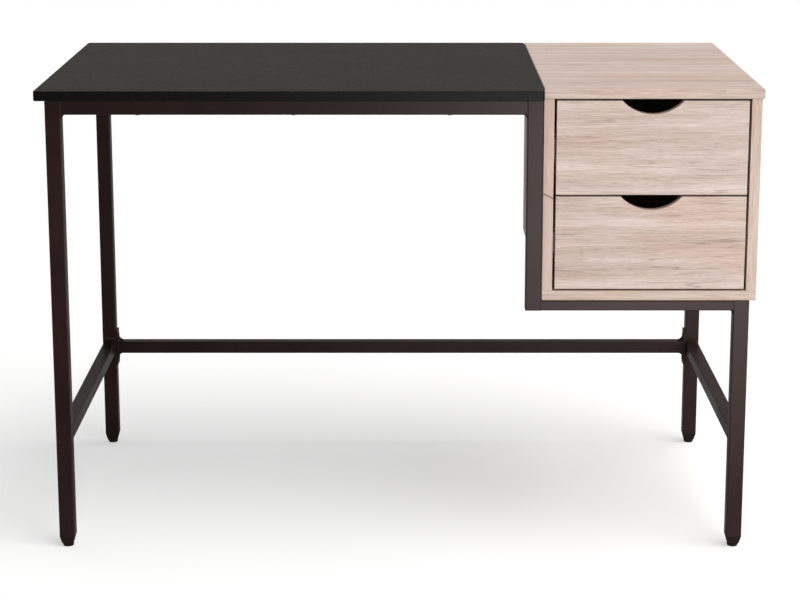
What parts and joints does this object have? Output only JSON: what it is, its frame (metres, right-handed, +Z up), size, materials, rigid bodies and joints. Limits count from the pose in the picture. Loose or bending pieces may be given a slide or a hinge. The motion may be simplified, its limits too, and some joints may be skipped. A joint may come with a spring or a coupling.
{
  "type": "writing desk with drawers",
  "caption": "Writing desk on a square-tube steel frame, with a dark worktop and a wooden drawer pedestal hung at one end; drawers with finger notches run on ball slides.",
  "frame": {"origin": "on the floor, under the middle of the tops", "axes": "+X to the right along the desk seen from the sitter's side, +Y to the back, +Z up"},
  "size_m": [1.15, 0.6, 0.762],
  "materials": {
    "frame_paint": "dark brown powder coat, satin",
    "glide_plastic": "moulded, matt",
    "black_bolts": "blackened steel",
    "worktop_black": "charcoal black finish, finely textured",
    "cabinet_wood": "pale limed wood, matt lacquer",
    "back_board": "thin board, plain",
    "drawer_wood": "plain pale wood, lacquered",
    "dowel_wood": "beech, fluted",
    "slide_steel": "zinc plated",
    "ball_steel": "polished balls in a plated cage",
    "screw_steel": "zinc plated"
  },
  "bodies": {
    "desk": {"leg_front_left": "frame_paint", "leg_front_right": "frame_paint", "leg_rear_left": "frame_paint", "leg_rear_right": "frame_paint", "foot_glides": "glide_plastic", "top_rail_front": "frame_paint", "top_rail_rear": "frame_paint", "top_rail_left": "frame_paint", "drop_post": "frame_paint", "lower_rail_front": "frame_paint", "lower_rail_right": "frame_paint", "stretcher_left": "frame_paint", "stretcher_right": "frame_paint", "stretcher_rear": "frame_paint", "stretcher_end_plates": "frame_paint", "stretcher_bolts": "black_bolts", "worktop": "worktop_black", "worktop_screws": "screw_steel", "cabinet_top": "cabinet_wood", "cabinet_side_left": "cabinet_wood", "cabinet_side_right": "cabinet_wood", "cabinet_bottom": "cabinet_wood", "cabinet_back": "back_board", "cabinet_dowels": "dowel_wood", "cabinet_screws": "screw_steel", "cabinet_slide_screws": "screw_steel", "upper_slide_left_cabinet_member": "slide_steel", "upper_slide_right_cabinet_member": "slide_steel", "lower_slide_left_cabinet_member": "slide_steel", "lower_slide_right_cabinet_member": "slide_steel"},
    "upper_drawer": {"upper_drawer_front": "cabinet_wood", "upper_drawer_side_left": "drawer_wood", "upper_drawer_side_right": "drawer_wood", "upper_drawer_back": "drawer_wood", "upper_drawer_bottom": "drawer_wood", "upper_drawer_dowels": "dowel_wood", "upper_drawer_slide_screws": "screw_steel", "upper_slide_left_drawer_member": "slide_steel", "upper_slide_right_drawer_member": "slide_steel"},
    "upper_slide_middles": {"upper_slide_left_middle_member": "slide_steel", "upper_slide_right_middle_member": "slide_steel"},
    "upper_outer_cages": {"upper_slide_outer_ball_cages": "ball_steel"},
    "upper_inner_cages": {"upper_slide_inner_ball_cages": "ball_steel"},
    "lower_drawer": {"lower_drawer_front": "cabinet_wood", "lower_drawer_side_left": "drawer_wood", "lower_drawer_side_right": "drawer_wood", "lower_drawer_back": "drawer_wood", "lower_drawer_bottom": "drawer_wood", "lower_drawer_dowels": "dowel_wood", "lower_drawer_slide_screws": "screw_steel", "lower_slide_left_drawer_member": "slide_steel", "lower_slide_right_drawer_member": "slide_steel"},
    "lower_slide_middles": {"lower_slide_left_middle_member": "slide_steel", "lower_slide_right_middle_member": "slide_steel"},
    "lower_outer_cages": {"lower_slide_outer_ball_cages": "ball_steel"},
    "lower_inner_cages": {"lower_slide_inner_ball_cages": "ball_steel"}
  },
  "joints": [
    {"name": "upper_drawer_pull", "type": "slide", "parent": "desk", "child": "upper_drawer", "axis": [0, -1, 0], "range_m": [0, 0.43]},
    {"name": "upper_slide_middles_pull", "type": "slide", "parent": "desk", "child": "upper_slide_middles", "axis": [0, -1, 0], "range_m": [0, 0.215]},
    {"name": "upper_outer_cages_pull", "type": "slide", "parent": "desk", "child": "upper_outer_cages", "axis": [0, -1, 0], "range_m": [0, 0.1075]},
    {"name": "upper_inner_cages_pull", "type": "slide", "parent": "desk", "child": "upper_inner_cages", "axis": [0, -1, 0], "range_m": [0, 0.3225]},
    {"name": "lower_drawer_pull", "type": "slide", "parent": "desk", "child": "lower_drawer", "axis": [0, -1, 0], "range_m": [0, 0.43]},
    {"name": "lower_slide_middles_pull", "type": "slide", "parent": "desk", "child": "lower_slide_middles", "axis": [0, -1, 0], "range_m": [0, 0.215]},
    {"name": "lower_outer_cages_pull", "type": "slide", "parent": "desk", "child": "lower_outer_cages", "axis": [0, -1, 0], "range_m": [0, 0.1075]},
    {"name": "lower_inner_cages_pull", "type": "slide", "parent": "desk", "child": "lower_inner_cages", "axis": [0, -1, 0], "range_m": [0, 0.3225]}
  ],
  "couplings": [
    {"joint": "upper_slide_middles_pull", "follows": "upper_drawer_pull", "ratio": 0.5},
    {"joint": "upper_outer_cages_pull", "follows": "upper_drawer_pull", "ratio": 0.25},
    {"joint": "upper_inner_cages_pull", "follows": "upper_drawer_pull", "ratio": 0.75},
    {"joint": "lower_slide_middles_pull", "follows": "lower_drawer_pull", "ratio": 0.5},
    {"joint": "lower_outer_cages_pull", "follows": "lower_drawer_pull", "ratio": 0.25},
    {"joint": "lower_inner_cages_pull", "follows": "lower_drawer_pull", "ratio": 0.75}
  ]
}
